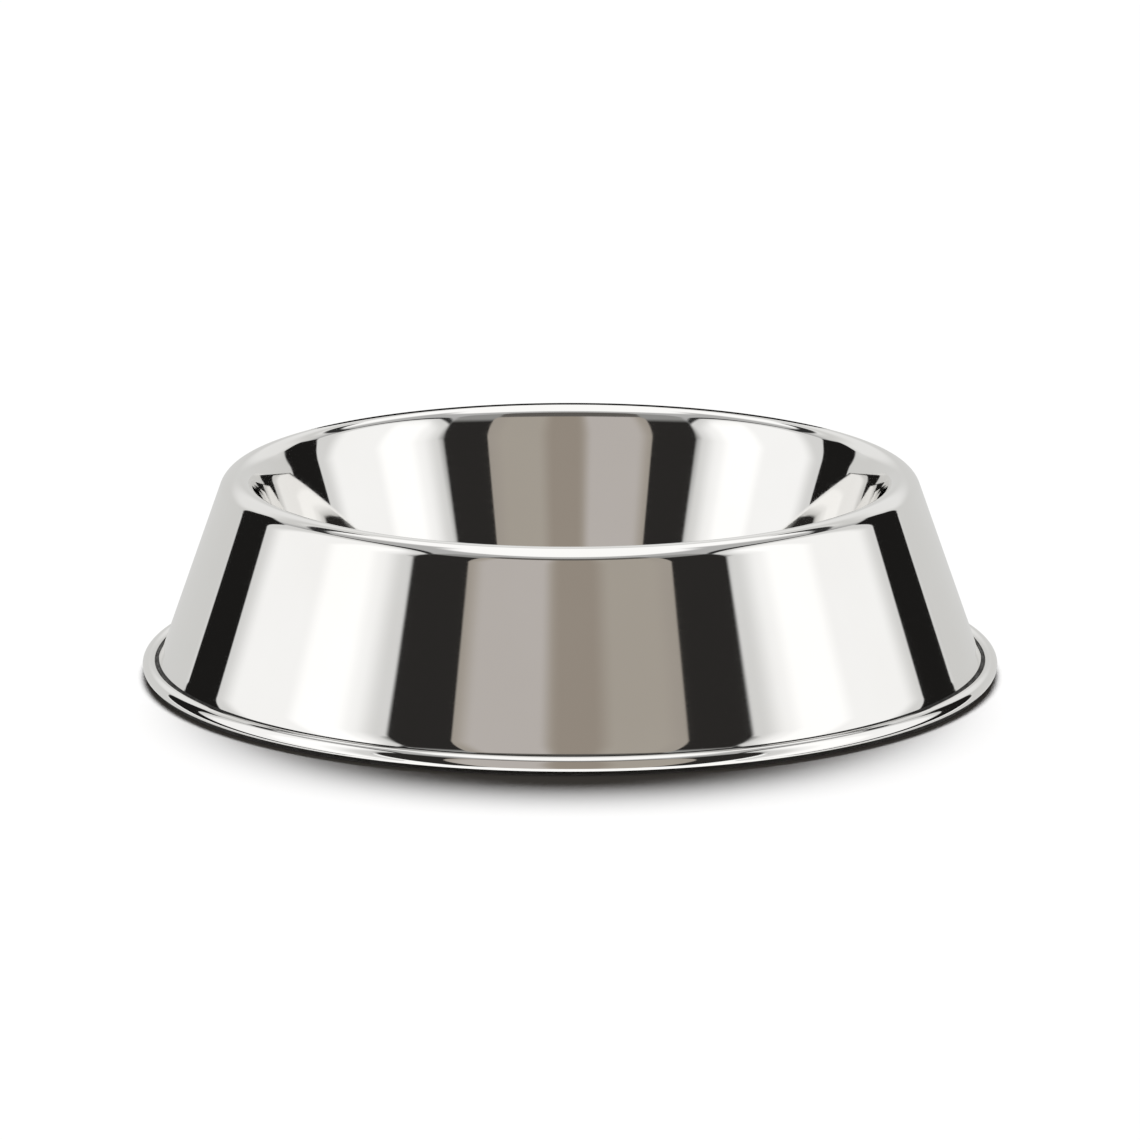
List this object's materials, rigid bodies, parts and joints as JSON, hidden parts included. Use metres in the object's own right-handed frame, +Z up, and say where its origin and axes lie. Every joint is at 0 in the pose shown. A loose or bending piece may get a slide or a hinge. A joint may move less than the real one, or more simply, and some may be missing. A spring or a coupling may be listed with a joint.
{
  "type": "dog bowl",
  "caption": "Round polished stainless dog bowl with a deep food well, rounded rim, flared non-tip skirt and rolled base bead standing in a rubber anti-slip ring.",
  "frame": {"origin": "on the ground, at the middle of the round base", "axes": "+Z up along the bowl's axis; -Y faces the viewer of the picture; the bowl is round, so X and Y are free"},
  "size_m": [0.28, 0.28, 0.066],
  "materials": {
    "polished_steel": "mirror-polished stainless steel",
    "ring_rubber": "matte moulded rubber"
  },
  "bodies": {
    "ring": {"non_slip_ring": "ring_rubber"},
    "bowl": {"bowl_shell": "polished_steel"}
  },
  "joints": [
    {"name": "bowl_lift", "type": "slide", "parent": "ring", "child": "bowl", "axis": [0, 0, 1], "range_m": [0, 0.04]}
  ]
}
